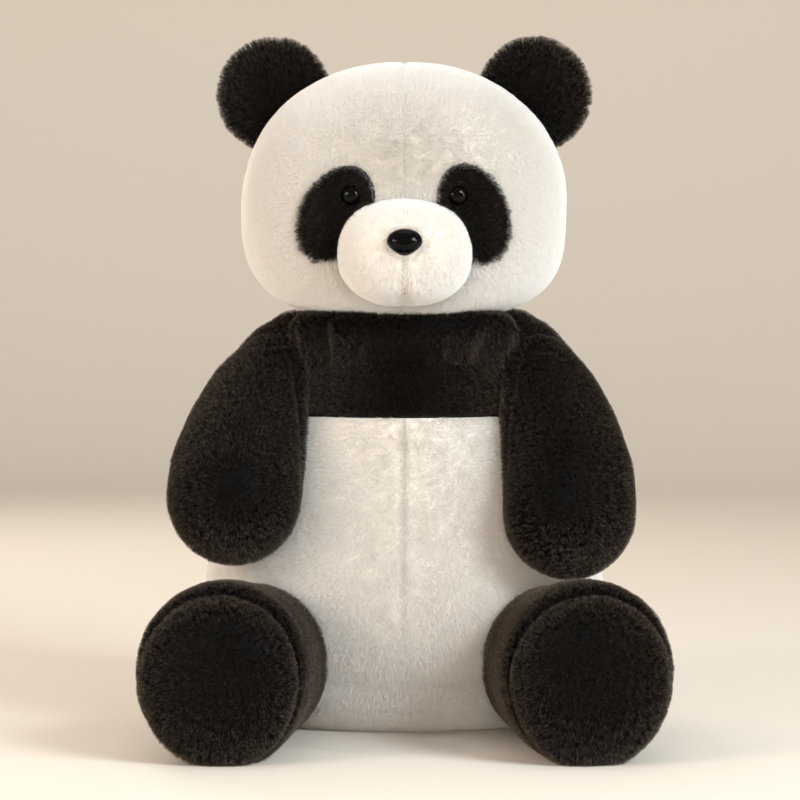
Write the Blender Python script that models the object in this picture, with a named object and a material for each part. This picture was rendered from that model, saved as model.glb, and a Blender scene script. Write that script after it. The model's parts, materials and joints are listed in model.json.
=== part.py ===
"""A sitting plush panda: fur-fabric panels sewn over fibre stuffing, with a plastic nose and eyes.

The toy faces -Y, +Z is up, and the origin is the middle of its flat seat. Left and right are the
toy's own sides, so its left is +X. Lengths are in metres.
"""

import math

import bmesh
import bpy
from mathutils import Matrix, Vector

# Fabric and clearances
FABRIC = 0.006  # knitted backing with its pile
EAR_FABRIC = 0.005
GAP = 0.0003  # half of the gap left at every seam
FIT = 0.0005  # gap between a lining and the stuffing behind it
REACH = 0.4  # longer than the toy, for the boxes that keep one side of a seam

# Head, around its own centre
HEAD_CENTRE = Vector((0.0, -0.008, 0.351))
HEAD_HALF = Vector((0.1105, 0.088, 0.0985))
JAW_HEIGHT = 0.0770
HEAD_ROUND = 2.3  # 2 is an ellipse, and more is squarer
CROWN_ROUND = 2.15
JAW_ROUND = 3.1
SIDE_SEAM_Y = 0.012

# Neck: a hard wad of stuffing that both openings are gathered round
NECK = Vector((0.0, -0.005, 0.272))
WAD_RADIUS = 0.045
NECK_CLEAR = 0.0495
THREAD_RADIUS = 0.0006

# Muzzle, nose and eyes
MUZZLE_CENTRE = Vector((0.0, -0.088, 0.3190))
MUZZLE_HALF = Vector((0.0435, 0.043, 0.0348))
MUZZLE_ROUND = 2.3
NOSE_AT = Vector((0.0, -0.1275, 0.3238))
NOSE_TILT = math.radians(-12)
NOSE_WIDTH = 0.0222
NOSE_HEIGHT = 0.0178
NOSE_DEPTH = 0.0075
NOSE_TIP = 1.06  # the tip's height as a share of the depth
NOSE_LEVELS = ((0.55, 0.97), (0.85, 0.72), (1.0, 0.25))  # size of each ring, and its height, as shares
NOSE_BACK = (0.94, -0.001)  # size of the nose's back edge as a share, and where it lies
EYE_X = 0.036
EYE_Z = 0.3555
EYE_SINK = 0.0045  # how far the eye's rim lies below the pile
EYE_RADIUS = 0.0066
EYE_DOME = 0.0052
EYE_OUTWARDS = 0.20  # how far each eye looks to its own side, against 1 forwards
EYE_HOLE_OUT = 0.02
POST_RADIUS = 0.0022
POST_LENGTH = 0.013
POST_START = 0.0012  # behind the rim of an eye or of the nose
WASHER_RADIUS = 0.0085
WASHER_THICK = 0.0015
WASHER_BEHIND = 0.0075  # from the rim of an eye or of the nose to its washer
PATCH_AT = (0.0446, 0.3440)
PATCH_HALF = (0.0212, 0.0320)
PATCH_TILT = math.radians(30)
PATCH_REACH = (-0.2, -0.02)

# Ears
EAR_CENTRE = Vector((0.090, 0.012, 0.4290))
EAR_HALF = Vector((0.0395, 0.0165, 0.0395))
EAR_PIVOT = Vector((0.0790, 0.012, 0.4165))
EAR_SWING = math.radians(15)
EAR_CLEAR = 0.001

# Torso: height, half width, half depth
TORSO_PROFILE = (
    (0.000, 0.1100, 0.0900),
    (0.022, 0.1300, 0.1080),
    (0.065, 0.1390, 0.1160),
    (0.110, 0.1340, 0.1120),
    (0.160, 0.1150, 0.1010),
    (0.210, 0.0850, 0.0840),
    (0.245, 0.0765, 0.0690),
    (0.272, 0.0690, 0.0530),
)
TORSO_HEIGHTS = (0.0, 0.006, 0.017, 0.040, 0.070, 0.105, 0.140, 0.175, 0.208, 0.235, 0.272)
SEAT_SEAM_Z = 0.022
BELLY_SEAM_Z = 0.2064

# Arms: centre of each section of the left arm, and its radius
CAP_TURNS = (62, 30)  # degrees round a limb's end at which its rings lie
SHOULDER = Vector((0.078, -0.018, 0.2410))
ARM_SECTIONS = (
    (SHOULDER, 0.0335),
    (Vector((0.0955, -0.036, 0.2165)), 0.0370),
    (Vector((0.1045, -0.058, 0.1930)), 0.0402),
    (Vector((0.1110, -0.082, 0.1680)), 0.0430),
    (Vector((0.1125, -0.101, 0.1470)), 0.0437),
)
ARM_STEPS = 5
ARM_INNER_X = 0.0675
ARM_CLEAR = 0.0012
SHOULDER_CLEAR = 0.0425
ARM_SEAM_NORMAL = Vector((-0.55, 0.75, -0.36))
HAND_LIFT = {"left": -0.001, "right": 0.006}

# Legs: distance along the leg from the hip, half width, half height
HIP = Vector((0.0985, -0.085, 0.0))
LEG_SPLAY = math.radians(6.5)
LEG_LIFT = 0.0004  # the leg's underside above the seat's plane
LEG_PROFILE = (
    (0.000, 0.0475, 0.0480),
    (0.045, 0.0490, 0.0500),
    (0.100, 0.0515, 0.0540),
    (0.135, 0.0530, 0.0555),
    (0.148, 0.0495, 0.0515),
)
LEG_STATIONS = (0.0, 0.050, 0.095, 0.130, 0.148)
SOLE_SEAM = 0.1435
SOLE_BULGE = 0.022
SOLE_TURN = math.radians(45)
LEG_SWING = (0.0, math.radians(11), math.radians(22))  # outwards, for the space a leg needs
HIP_CLEAR = 0.0025

# Tail
TAIL_CENTRE = Vector((0.0, 0.120, 0.070))
TAIL_RADIUS = 0.024

SIDES = {"left": 1, "right": -1}


def material(name, colour, roughness):
    made = bpy.data.materials.new(name)
    made.use_nodes = True
    shader = made.node_tree.nodes["Principled BSDF"]
    shader.inputs["Base Color"].default_value = (*colour, 1)
    shader.inputs["Roughness"].default_value = roughness
    shader.inputs["Metallic"].default_value = 0
    return made


def clear_scene():
    for obj in list(bpy.data.objects):
        bpy.data.objects.remove(obj)


clear_scene()
WHITE_PLUSH = material("white_plush", (0.83, 0.80, 0.75), 0.95)
BLACK_PLUSH = material("black_plush", (0.022, 0.018, 0.016), 0.9)
STUFFING = material("stuffing", (0.88, 0.88, 0.86), 1.0)
BLACK_PLASTIC = material("black_plastic", (0.008, 0.008, 0.008), 0.08)
WASHER_PLASTIC = material("washer_plastic", (0.75, 0.75, 0.72), 0.45)
THREAD = material("thread", (0.03, 0.028, 0.026), 0.8)


# ---- meshes -------------------------------------------------------------------------------------


def finished_mesh(name, bm):
    """The bmesh as a mesh whose faces all point outwards."""
    bmesh.ops.recalc_face_normals(bm, faces=bm.faces)
    mesh = bpy.data.meshes.new(name)
    bm.to_mesh(mesh)
    bm.free()
    return mesh


def closed_mesh(name, loops, start=None, end=None):
    """A closed surface through equal loops of points. Each end is a point, or a flat cap.

    Every surface is split into triangles the same way, so that a lining never crosses its cover.
    """
    bm = bmesh.new()
    rings = [[bm.verts.new(point) for point in loop] for loop in loops]
    count = len(rings[0])
    for lower, upper in zip(rings, rings[1:]):
        for i in range(count):
            j = (i + 1) % count
            bm.faces.new((lower[i], lower[j], upper[j]))
            bm.faces.new((lower[i], upper[j], upper[i]))
    for ring, tip in ((rings[0], start), (rings[-1], end)):
        if tip is None:
            bm.faces.new(ring)
            continue
        apex = bm.verts.new(tip)
        for i in range(count):
            bm.faces.new((ring[i], ring[(i + 1) % count], apex))
    return finished_mesh(name, bm)


def ring_angles(count):
    """Angles round a loop, half a step off the seams, so that no cut runs along an edge."""
    return [2 * math.pi * (i + 0.5) / count for i in range(count)]


def smooth(table, at):
    """The rows of a table, read between them along a Catmull-Rom curve of their first column."""
    rows = [tuple(row) for row in table]
    at = min(max(at, rows[0][0]), rows[-1][0])
    k = max(i for i in range(len(rows) - 1) if rows[i][0] <= at)
    before = rows[max(k - 1, 0)]
    after = rows[min(k + 2, len(rows) - 1)]
    first, second = rows[k], rows[k + 1]
    span = second[0] - first[0]
    s = (at - first[0]) / span
    values = []
    for a, b, c, d in zip(before[1:], first[1:], second[1:], after[1:]):
        slope_b = (c - a) / (second[0] - before[0]) * span
        slope_c = (d - b) / (after[0] - first[0]) * span
        blend = (2 * s - 3) * s * s
        values.append(
            (blend + 1) * b
            + (s * s * s - 2 * s * s + s) * slope_b
            - blend * c
            + (s * s * s - s * s) * slope_c
        )
    return values


def squircle(x, y, half_x, half_y, power):
    """How far a direction reaches before it meets a rounded rectangle."""
    reach = (abs(x) / half_x) ** power + (abs(y) / half_y) ** power
    return reach ** (-1 / power)


def star_mesh(name, centre, distance, rings, segments, axis="Z"):
    """A closed surface given by its distance from centre in each direction, with poles on axis."""
    turn = {"X": Vector((0, 1, 0)), "Y": Vector((1, 0, 0)), "Z": None}[axis]
    frame = Matrix.Rotation(math.pi / 2, 3, turn) if turn else Matrix.Identity(3)
    loops = []
    for k in range(1, rings):
        polar = math.pi * k / rings
        loop = []
        for angle in ring_angles(segments):
            flat = math.sin(polar)
            way = Vector((flat * math.cos(angle), flat * math.sin(angle), math.cos(polar)))
            way = frame @ way
            loop.append(centre + way * distance(way))
        loops.append(loop)
    tips = [frame @ Vector((0, 0, z)) for z in (1, -1)]
    ends = [centre + tip * distance(tip) for tip in tips]
    return closed_mesh(name, loops, *ends)


def head_mesh(name, inset, rings=10, segments=22):
    half = HEAD_HALF - Vector((inset, inset, inset))
    jaw = JAW_HEIGHT - inset

    def distance(way):
        flat = math.hypot(way.x, way.y)
        around = 0
        if flat > 1e-9:
            around = flat / squircle(way.x / flat, way.y / flat, half.x, half.y, HEAD_ROUND)
        power, height = (CROWN_ROUND, half.z) if way.z > 0 else (JAW_ROUND, jaw)
        return (around**power + (abs(way.z) / height) ** power) ** (-1 / power)

    return star_mesh(name, HEAD_CENTRE, distance, rings, segments)


def rounded_distance(half, power):
    """The distance function of a rounded box, or of an ellipsoid when power is 2."""

    def distance(way):
        reach = sum((abs(part) / size) ** power for part, size in zip(way, half))
        return reach ** (-1 / power)

    return distance


def muzzle_mesh(name, inset):
    half = MUZZLE_HALF - Vector((inset, inset, inset))
    return star_mesh(name, MUZZLE_CENTRE, rounded_distance(half, MUZZLE_ROUND), 8, 16, "Y")


def ear_mesh(name, side, inset):
    half = EAR_HALF - Vector((inset, inset, inset))
    centre = mirrored(EAR_CENTRE, side)
    return star_mesh(name, centre, rounded_distance(half, 2), 6, 16, "Y")


def ball_mesh(name, centre, radius, rings=9, segments=18):
    return star_mesh(name, centre, lambda way: radius, rings, segments)


def torso_mesh(name, inset, top_extra=0.0, segments=22):
    """The pear-shaped body. Its inner copy runs on past the top, so that the neck stays open."""
    base, top = TORSO_HEIGHTS[0], TORSO_HEIGHTS[-1]
    loops = []
    for height in TORSO_HEIGHTS:
        width, depth = (value - inset for value in smooth(TORSO_PROFILE, height))
        z = max(height, base + inset)
        if loops and z - loops[-1][0].z < 0.001:
            continue
        angles = ring_angles(segments)
        loops.append([Vector((width * math.cos(a), depth * math.sin(a), z)) for a in angles])
    if top_extra:
        loops.append([Vector((p.x, p.y, top + top_extra)) for p in loops[-1]])
    return closed_mesh(name, loops)


def mirrored(point, side):
    return Vector((point.x * SIDES[side], point.y, point.z))


def arm_mesh(name, side, inset):
    """A bent, tapering tube with a round end at the shoulder and at the hand."""
    table = []
    length = 0.0
    for k, (centre, radius) in enumerate(ARM_SECTIONS):
        if k:
            length += (centre - ARM_SECTIONS[k - 1][0]).length
        lift = HAND_LIFT[side] * (k / (len(ARM_SECTIONS) - 1)) ** 2
        table.append((length, centre.x, centre.y, centre.z + lift, radius))
    stations = [length * k / ARM_STEPS for k in range(ARM_STEPS + 1)]
    centres = [Vector(smooth(table, s)[:3]) for s in stations]
    radii = [smooth(table, s)[3] - inset for s in stations]
    ways = []
    for k in range(len(centres)):
        before, after = centres[max(k - 1, 0)], centres[min(k + 1, ARM_STEPS)]
        ways.append((after - before).normalized())
    loops = []

    def loop_at(centre, way, radius):
        across = way.cross(Vector((1, 0, 0))).normalized()
        up = across.cross(way)
        return [
            mirrored(centre + radius * (math.cos(a) * up + math.sin(a) * across), side)
            for a in ring_angles(12)
        ]

    for turn in CAP_TURNS:
        angle = math.radians(turn)
        back = centres[0] - ways[0] * radii[0] * math.sin(angle)
        loops.append(loop_at(back, ways[0], radii[0] * math.cos(angle)))
    for centre, way, radius in zip(centres, ways, radii):
        loops.append(loop_at(centre, way, radius))
    for turn in reversed(CAP_TURNS):
        angle = math.radians(turn)
        ahead = centres[-1] + ways[-1] * radii[-1] * math.sin(angle)
        loops.append(loop_at(ahead, ways[-1], radii[-1] * math.cos(angle)))
    start = mirrored(centres[0] - ways[0] * radii[0], side)
    end = mirrored(centres[-1] + ways[-1] * radii[-1], side)
    return closed_mesh(name, loops, start, end)


def leg_way(side):
    return Vector((math.sin(LEG_SPLAY) * SIDES[side], -math.cos(LEG_SPLAY), 0))


def leg_mesh(name, side, inset, segments=14):
    """A short leg lying on its side on the seat's plane, round at the hip, with a domed sole."""
    hip = mirrored(HIP, side)
    way = leg_way(side)
    across = Vector((-way.y, way.x, 0))
    loops = []

    def add_loop(along, width, height, middle):
        loops.append(
            [
                hip
                + way * along
                + across * (width * math.cos(a))
                + Vector((0, 0, middle + height * math.sin(a)))
                for a in ring_angles(segments)
            ]
        )

    root_width, root_height = (value - inset for value in LEG_PROFILE[0][1:])
    root_middle = LEG_PROFILE[0][2] + LEG_LIFT
    for turn in CAP_TURNS:
        angle = math.radians(turn)
        shrink = math.cos(angle)
        add_loop(-root_width * math.sin(angle), root_width * shrink, root_height * shrink, root_middle)
    for along in LEG_STATIONS:
        width, height = smooth(LEG_PROFILE, along)
        middle = max(height, LEG_PROFILE[0][2]) + LEG_LIFT
        if along > LEG_PROFILE[-2][0]:
            middle = LEG_PROFILE[-2][2] + LEG_LIFT
        add_loop(min(along, LEG_PROFILE[-1][0] - inset), width - inset, height - inset, middle)
    sole_middle = LEG_PROFILE[-2][2] + LEG_LIFT
    width, height = (value - inset for value in LEG_PROFILE[-1][1:])
    base = LEG_PROFILE[-1][0] - inset
    shrink = math.cos(SOLE_TURN)
    add_loop(base + SOLE_BULGE * math.sin(SOLE_TURN), width * shrink, height * shrink, sole_middle)
    start = hip - way * root_width + Vector((0, 0, root_middle))
    end = hip + way * (base + SOLE_BULGE) + Vector((0, 0, sole_middle))
    return closed_mesh(name, loops, start, end)


def patch_mesh(name, side, grow):
    """The oval of an eye patch, leaning inwards at its top, drawn straight through the face."""
    outline = []
    for angle in ring_angles(16)[:: SIDES[side]]:
        x = (PATCH_HALF[0] + grow) * math.cos(angle)
        z = (PATCH_HALF[1] + grow) * math.sin(angle)
        across = x * math.cos(PATCH_TILT) - z * math.sin(PATCH_TILT)
        up = x * math.sin(PATCH_TILT) + z * math.cos(PATCH_TILT)
        outline.append((SIDES[side] * (PATCH_AT[0] + across), PATCH_AT[1] + up))
    return closed_mesh(name, [[Vector((x, y, z)) for x, z in outline] for y in PATCH_REACH])


def turned_mesh(name, origin, way, profile, segments=12):
    """A turned piece: profile lists (radius, distance along way), and a zero radius is a point."""
    way = way.normalized()
    across = way.cross(Vector((0, 0, 1))).normalized()
    up = across.cross(way)
    loops = [
        [
            origin + way * along + radius * (math.cos(a) * across + math.sin(a) * up)
            for a in ring_angles(segments)
        ]
        for radius, along in profile
        if radius
    ]
    tips = [origin + way * along if not radius else None for radius, along in (profile[0], profile[-1])]
    return closed_mesh(name, loops, *tips)


def nose_outline(angle, width, height):
    """A rounded triangle, wide and gently curved at the top and pointed below."""
    z = math.sin(angle)
    taper = 1 - 0.30 * max(-z, 0) ** 1.3 + 0.06 * max(z, 0)
    return Vector((width / 2 * math.cos(angle) * taper, 0, height / 2 * (z * 0.95 + 0.05)))


def nose_mesh(name, grow):
    """The domed nose with its post, before it is tilted into place."""
    levels = [(scale, NOSE_DEPTH * share + grow) for scale, share in NOSE_LEVELS]
    levels.append((NOSE_BACK[0], NOSE_BACK[1] - grow))
    loops = []
    for scale, out in levels:
        loops.append(
            [
                nose_outline(a, (NOSE_WIDTH + 2 * grow) * scale, (NOSE_HEIGHT + 2 * grow) * scale)
                + Vector((0, -out, 0))
                for a in ring_angles(16)
            ]
        )
    post = POST_RADIUS + grow
    for back in (POST_START + grow, POST_LENGTH + grow):
        loops.append([Vector((post * math.cos(a), back, post * math.sin(a))) for a in ring_angles(16)])
    tip = Vector((0, -NOSE_DEPTH * NOSE_TIP - grow, 0))
    mesh = closed_mesh(name, loops, tip, Vector((0, POST_LENGTH + grow, 0)))
    mesh.transform(Matrix.Translation(NOSE_AT) @ Matrix.Rotation(NOSE_TILT, 4, "X"))
    return mesh


def eye_frame(side):
    """The middle of an eye's rim, and the way that the eye looks."""
    x = EYE_X / HEAD_HALF.x
    up = (EYE_Z - HEAD_CENTRE.z) / HEAD_HALF.z
    y = -HEAD_HALF.y * (1 - x**HEAD_ROUND - abs(up) ** HEAD_ROUND) ** (1 / HEAD_ROUND)
    way = Vector((EYE_OUTWARDS * SIDES[side], -1, 0.0)).normalized()
    rim = Vector((EYE_X * SIDES[side], HEAD_CENTRE.y + y, EYE_Z)) - way * EYE_SINK
    return rim, way


def eye_profile(grow):
    """The eye from the end of its post to the top of its dome."""
    radius = EYE_RADIUS + grow
    return (
        (POST_RADIUS + grow, -POST_LENGTH - grow),
        (POST_RADIUS + grow, -POST_START),
        (radius * 0.92, -0.0010 - grow),
        (radius, 0.0008),
        (radius * 0.82, EYE_DOME * 0.62 + grow),
        (radius * 0.45, EYE_DOME * 0.92 + grow),
        (0, EYE_DOME + grow),
    )


def post_hole_profile():
    radius = POST_RADIUS + GAP
    return (radius, -POST_LENGTH - WASHER_THICK), (radius, 0)


def washer_mesh(name, origin, way, grow=0.0):
    """A ring that snaps on a post, or with grow, the pocket for it in the stuffing."""
    outer = WASHER_RADIUS + grow
    half = WASHER_THICK / 2 + grow
    middle = origin - way * WASHER_BEHIND
    return turned_mesh(name, middle, way, ((outer, -half), (outer, half)))


def torus_mesh(name, centre, radius, thickness, segments=24, sides=4):
    bm = bmesh.new()
    rings = []
    for angle in ring_angles(segments):
        out = Vector((math.cos(angle), math.sin(angle), 0))
        ring = []
        for k in range(sides):
            turn = 2 * math.pi * k / sides
            point = centre + out * (radius + thickness * math.cos(turn))
            ring.append(bm.verts.new(point + Vector((0, 0, thickness * math.sin(turn)))))
        rings.append(ring)
    for i in range(segments):
        here, after = rings[i], rings[(i + 1) % segments]
        for k in range(sides):
            j = (k + 1) % sides
            bm.faces.new((here[k], here[j], after[j], after[k]))
    return finished_mesh(name, bm)


# ---- objects ------------------------------------------------------------------------------------


def add_pivot(name, at, parent=None):
    """An empty on a joint's axis, which the pieces of that body hang from."""
    pivot = bpy.data.objects.new(name, None)
    bpy.context.scene.collection.objects.link(pivot)
    pivot.parent = parent
    pivot.location = at - world_of(parent)
    return pivot


def world_of(pivot):
    place = Vector((0, 0, 0))
    while pivot is not None:
        place = place + pivot.location
        pivot = pivot.parent
    return place


def add_object(mesh, pivot):
    """An object whose origin is on its body's pivot. Its mesh arrives in the toy's own frame."""
    mesh.transform(Matrix.Translation(-world_of(pivot)))
    obj = bpy.data.objects.new(mesh.name, mesh)
    bpy.context.scene.collection.objects.link(obj)
    obj.parent = pivot
    return obj


def helper(mesh, pivot=None):
    """A shape that only cuts or bounds other pieces."""
    obj = add_object(mesh, pivot)
    obj.hide_render = True
    obj.display_type = "WIRE"
    return obj


def add_boolean(obj, operation, other):
    boolean = obj.modifiers.new(f"{operation.lower()}_{other.name}", "BOOLEAN")
    boolean.operation = operation
    boolean.object = other
    boolean.solver = "EXACT"


def piece(mesh, pivot, look, keep=(), cuts=()):
    """A real piece: what is left of its mesh inside every keep shape and outside every cut."""
    obj = add_object(mesh, pivot)
    mesh.materials.append(look)
    for other in keep:
        add_boolean(obj, "INTERSECT", other)
    for other in cuts:
        add_boolean(obj, "DIFFERENCE", other)
    return obj


def hard_piece(mesh, pivot, look, cuts=()):
    """A moulded piece, smooth all round but for its sharp edges."""
    obj = piece(mesh, pivot, look, cuts=cuts)
    mesh.shade_smooth()
    mesh.set_sharp_from_angle(angle=math.radians(40))
    return obj


def box_mesh(name, low, high):
    corners = ((low.x, low.y), (high.x, low.y), (high.x, high.y), (low.x, high.y))
    return closed_mesh(name, [[Vector((x, y, z)) for x, y in corners] for z in (low.z, high.z)])


def side_helper(name, point, normal):
    """Everything on the side of a plane that its normal points to."""
    normal = normal.normalized()
    across = normal.orthogonal().normalized()
    up = normal.cross(across)
    corners = ((-1, -1), (1, -1), (1, 1), (-1, 1))
    loops = [
        [point + normal * depth + REACH * (a * across + b * up) for a, b in corners]
        for depth in (0, REACH)
    ]
    return helper(closed_mesh(name, loops))


def quarter(name, side, front, seam_y, low, high):
    """The space of one front or back panel between two heights, on one side or on both."""
    left = -REACH if side in (None, "right") else GAP
    right = REACH if side in (None, "left") else -GAP
    near = -REACH if front else seam_y + GAP
    far = seam_y - GAP if front else REACH
    return helper(box_mesh(name, Vector((left, near, low + GAP)), Vector((right, far, high - GAP))))


# ---- sub-assemblies -----------------------------------------------------------------------------


def build_eye(side, pivot):
    """An eye with its post and washer. Returns the hole for it, and the pocket for its washer."""
    rim, way = eye_frame(side)
    hard_piece(turned_mesh(f"eye_{side}", rim, way, eye_profile(0)), pivot, BLACK_PLASTIC)
    bore = helper(turned_mesh(f"post_hole_{side}", rim, way, post_hole_profile()), pivot)
    hard_piece(washer_mesh(f"eye_washer_{side}", rim, way), pivot, WASHER_PLASTIC, [bore])
    mouth = (EYE_RADIUS + GAP, EYE_HOLE_OUT)
    hole = turned_mesh(f"eye_hole_{side}", rim, way, (*eye_profile(GAP)[:-3], mouth))
    pocket = washer_mesh(f"eye_pocket_{side}", rim, way, FIT)
    return helper(hole, pivot), helper(pocket, pivot)


def build_nose(pivot):
    """The nose with its post and washer, pressed into the muzzle."""
    way = Matrix.Rotation(NOSE_TILT, 3, "X") @ Vector((0, -1, 0))
    hard_piece(nose_mesh("nose", 0), pivot, BLACK_PLASTIC)
    bore = helper(turned_mesh("nose_post_hole", NOSE_AT, way, post_hole_profile()), pivot)
    hard_piece(washer_mesh("nose_washer", NOSE_AT, way), pivot, WASHER_PLASTIC, [bore])
    hole = helper(nose_mesh("nose_hole", GAP), pivot)
    return hole, helper(washer_mesh("nose_pocket", NOSE_AT, way, FIT), pivot)


def build_head(pivot):
    """Face, nape, muzzle and eye patches over one filling. Returns the neck's opening."""
    inner = helper(head_mesh("head_lining", FABRIC), pivot)
    neck = helper(ball_mesh("neck_opening", NECK, NECK_CLEAR, 8, 18), pivot)
    snout = helper(muzzle_mesh("muzzle_opening", FABRIC), pivot)
    face = helper(head_mesh("face_clearance", -GAP), pivot)
    nose_hole, nose_pocket = build_nose(pivot)
    pockets = [nose_hole, nose_pocket]
    for side in SIDES:
        eye_hole, eye_pocket = build_eye(side, pivot)
        pockets += [eye_hole, eye_pocket]
        opening = helper(patch_mesh(f"patch_hole_{side}", side, GAP), pivot)
        outline = helper(patch_mesh(f"patch_edge_{side}", side, -GAP), pivot)
        front = quarter(f"face_side_{side}", side, True, SIDE_SEAM_Y, 0, 2 * REACH)
        back = quarter(f"nape_side_{side}", side, False, SIDE_SEAM_Y, 0, 2 * REACH)
        cover = head_mesh(f"face_panel_{side}", 0)
        piece(cover, pivot, WHITE_PLUSH, [front], [inner, neck, snout, opening])
        piece(head_mesh(f"head_back_panel_{side}", 0), pivot, WHITE_PLUSH, [back], [inner, neck])
        patch = head_mesh(f"eye_patch_{side}", 0)
        piece(patch, pivot, BLACK_PLUSH, [outline], [inner, snout, eye_hole])
    piece(muzzle_mesh("muzzle_panel", 0), pivot, WHITE_PLUSH, cuts=[snout, face, nose_hole])
    filling = piece(head_mesh("head_stuffing", FABRIC + FIT), pivot, STUFFING)
    add_boolean(filling, "UNION", helper(muzzle_mesh("muzzle_filling", FABRIC + FIT), pivot))
    for cut in (neck, *pockets):
        add_boolean(filling, "DIFFERENCE", cut)
    return neck


def ear_axis(side):
    """The line that an ear folds along, down the side of the crown. A positive turn is forwards."""
    out = mirrored(EAR_CENTRE, side) - HEAD_CENTRE
    return Vector((out.z, 0, -out.x)).normalized()


def build_ear(side, pivot):
    """An ear of two panels over a thin filling. Its root is hollowed, so that it can fold."""
    centre = mirrored(EAR_PIVOT, side)
    roots = []
    for name, angle in (("back", -EAR_SWING), ("rest", 0.0), ("front", EAR_SWING)):
        mesh = head_mesh(f"ear_root_{name}_{side}", -EAR_CLEAR)
        turn = Matrix.Rotation(angle, 4, ear_axis(side))
        mesh.transform(Matrix.Translation(centre) @ turn @ Matrix.Translation(-centre))
        roots.append(helper(mesh, pivot))
    inner = helper(ear_mesh(f"ear_lining_{side}", side, EAR_FABRIC), pivot)
    for half, front in (("front", True), ("back", False)):
        space = quarter(f"ear_{half}_space_{side}", None, front, EAR_CENTRE.y, 0, 2 * REACH)
        cover = ear_mesh(f"ear_{half}_panel_{side}", side, 0)
        piece(cover, pivot, BLACK_PLUSH, [space], [inner, *roots])
    piece(ear_mesh(f"ear_stuffing_{side}", side, EAR_FABRIC + FIT), pivot, STUFFING, cuts=roots)


def build_neck(pivot):
    """The wad that the head turns on, with the gathering thread round it."""
    piece(ball_mesh("neck_wad", NECK, WAD_RADIUS, 8, 18), pivot, STUFFING)
    ring = WAD_RADIUS + 2 * GAP + THREAD_RADIUS
    piece(torus_mesh("neck_seam_thread", NECK, ring, THREAD_RADIUS), pivot, THREAD)


def shoulder_clearance(side):
    """The round space in the torso's side that the arm turns in, and the arm's own place."""
    way = Vector((SIDES[side], 0, 0))
    start = Vector((SIDES[side] * (ARM_INNER_X - ARM_CLEAR), SHOULDER.y, SHOULDER.z))
    profile = ((SHOULDER_CLEAR, 0), (SHOULDER_CLEAR, REACH / 4))
    disc = turned_mesh(f"shoulder_space_{side}", start, way, profile, 20)
    return [helper(disc), helper(arm_mesh(f"arm_place_{side}", side, -ARM_CLEAR))]


def hip_clearance(side):
    """The space that a leg sweeps: the hull of the leg over its swing."""
    hip = mirrored(HIP, side)
    bm = bmesh.new()
    for angle in LEG_SWING:
        mesh = leg_mesh(f"leg_place_{side}", side, -HIP_CLEAR)
        turn = Matrix.Rotation(angle * SIDES[side], 4, "Z")
        mesh.transform(Matrix.Translation(hip) @ turn @ Matrix.Translation(-hip))
        for vertex in mesh.vertices:
            bm.verts.new(vertex.co)
    bmesh.ops.convex_hull(bm, input=bm.verts)
    loose = [vertex for vertex in bm.verts if not vertex.link_faces]
    bmesh.ops.delete(bm, geom=loose, context="VERTS")
    return helper(finished_mesh(f"hip_space_{side}", bm))


def build_torso(pivot, neck):
    """The pear-shaped body: chest, belly, back and seat panels over one filling."""
    inner = helper(torso_mesh("torso_lining", FABRIC, REACH / 8))
    shoulders = [space for side in SIDES for space in shoulder_clearance(side)]
    hips = [hip_clearance(side) for side in SIDES]
    chest_cuts = [inner, neck, *shoulders]
    belly_cuts = [inner, *hips, *shoulders]
    chest = quarter("chest_space", None, True, 0, BELLY_SEAM_Z, REACH)
    piece(torso_mesh("chest_panel", 0), pivot, BLACK_PLUSH, [chest], chest_cuts)
    panels = (
        ("upper_back_panel", False, BELLY_SEAM_Z, REACH, BLACK_PLUSH, chest_cuts),
        ("belly_panel", True, SEAT_SEAM_Z, BELLY_SEAM_Z, WHITE_PLUSH, belly_cuts),
        ("lower_back_panel", False, SEAT_SEAM_Z, BELLY_SEAM_Z, WHITE_PLUSH, belly_cuts),
    )
    for side in SIDES:
        for name, front, low, high, look, cuts in panels:
            space = quarter(f"{name}_space_{side}", side, front, 0, low, high)
            piece(torso_mesh(f"{name}_{side}", 0), pivot, look, [space], cuts)
    low, high = Vector((-REACH, -REACH, -REACH)), Vector((REACH, REACH, SEAT_SEAM_Z - GAP))
    seat = helper(box_mesh("seat_space", low, high))
    piece(torso_mesh("seat_panel", 0), pivot, WHITE_PLUSH, [seat], [inner, *hips])
    filling = torso_mesh("torso_stuffing", FABRIC + FIT)
    piece(filling, pivot, STUFFING, cuts=[neck, *shoulders, *hips])


def build_tail(pivot):
    """A small round tail, sewn to the back over its own filling."""
    back = helper(torso_mesh("tail_root", -GAP))
    inner = helper(ball_mesh("tail_lining", TAIL_CENTRE, TAIL_RADIUS - EAR_FABRIC, 7, 12))
    cover = ball_mesh("tail_panel", TAIL_CENTRE, TAIL_RADIUS, 7, 12)
    piece(cover, pivot, WHITE_PLUSH, cuts=[inner, back])
    filling = ball_mesh("tail_stuffing", TAIL_CENTRE, TAIL_RADIUS - EAR_FABRIC - FIT, 7, 12)
    piece(filling, pivot, STUFFING, cuts=[back])


def build_arm(side, pivot):
    """A sleeve of two panels, joined along the front of the arm and round the hand."""
    inner = helper(arm_mesh(f"arm_lining_{side}", side, FABRIC), pivot)
    flat = Vector((SIDES[side], 0, 0))
    root = side_helper(f"arm_root_{side}", flat * ARM_INNER_X, flat)
    normal = mirrored(ARM_SEAM_NORMAL, side).normalized()
    middle = mirrored(ARM_SECTIONS[2][0], side)
    for half, way in (("inner", 1), ("outer", -1)):
        space = side_helper(f"arm_{half}_space_{side}", middle + normal * way * GAP, normal * way)
        piece(arm_mesh(f"arm_{half}_panel_{side}", side, 0), pivot, BLACK_PLUSH, [space, root], [inner])
    piece(arm_mesh(f"arm_stuffing_{side}", side, FABRIC + FIT), pivot, STUFFING, [root])


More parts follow.
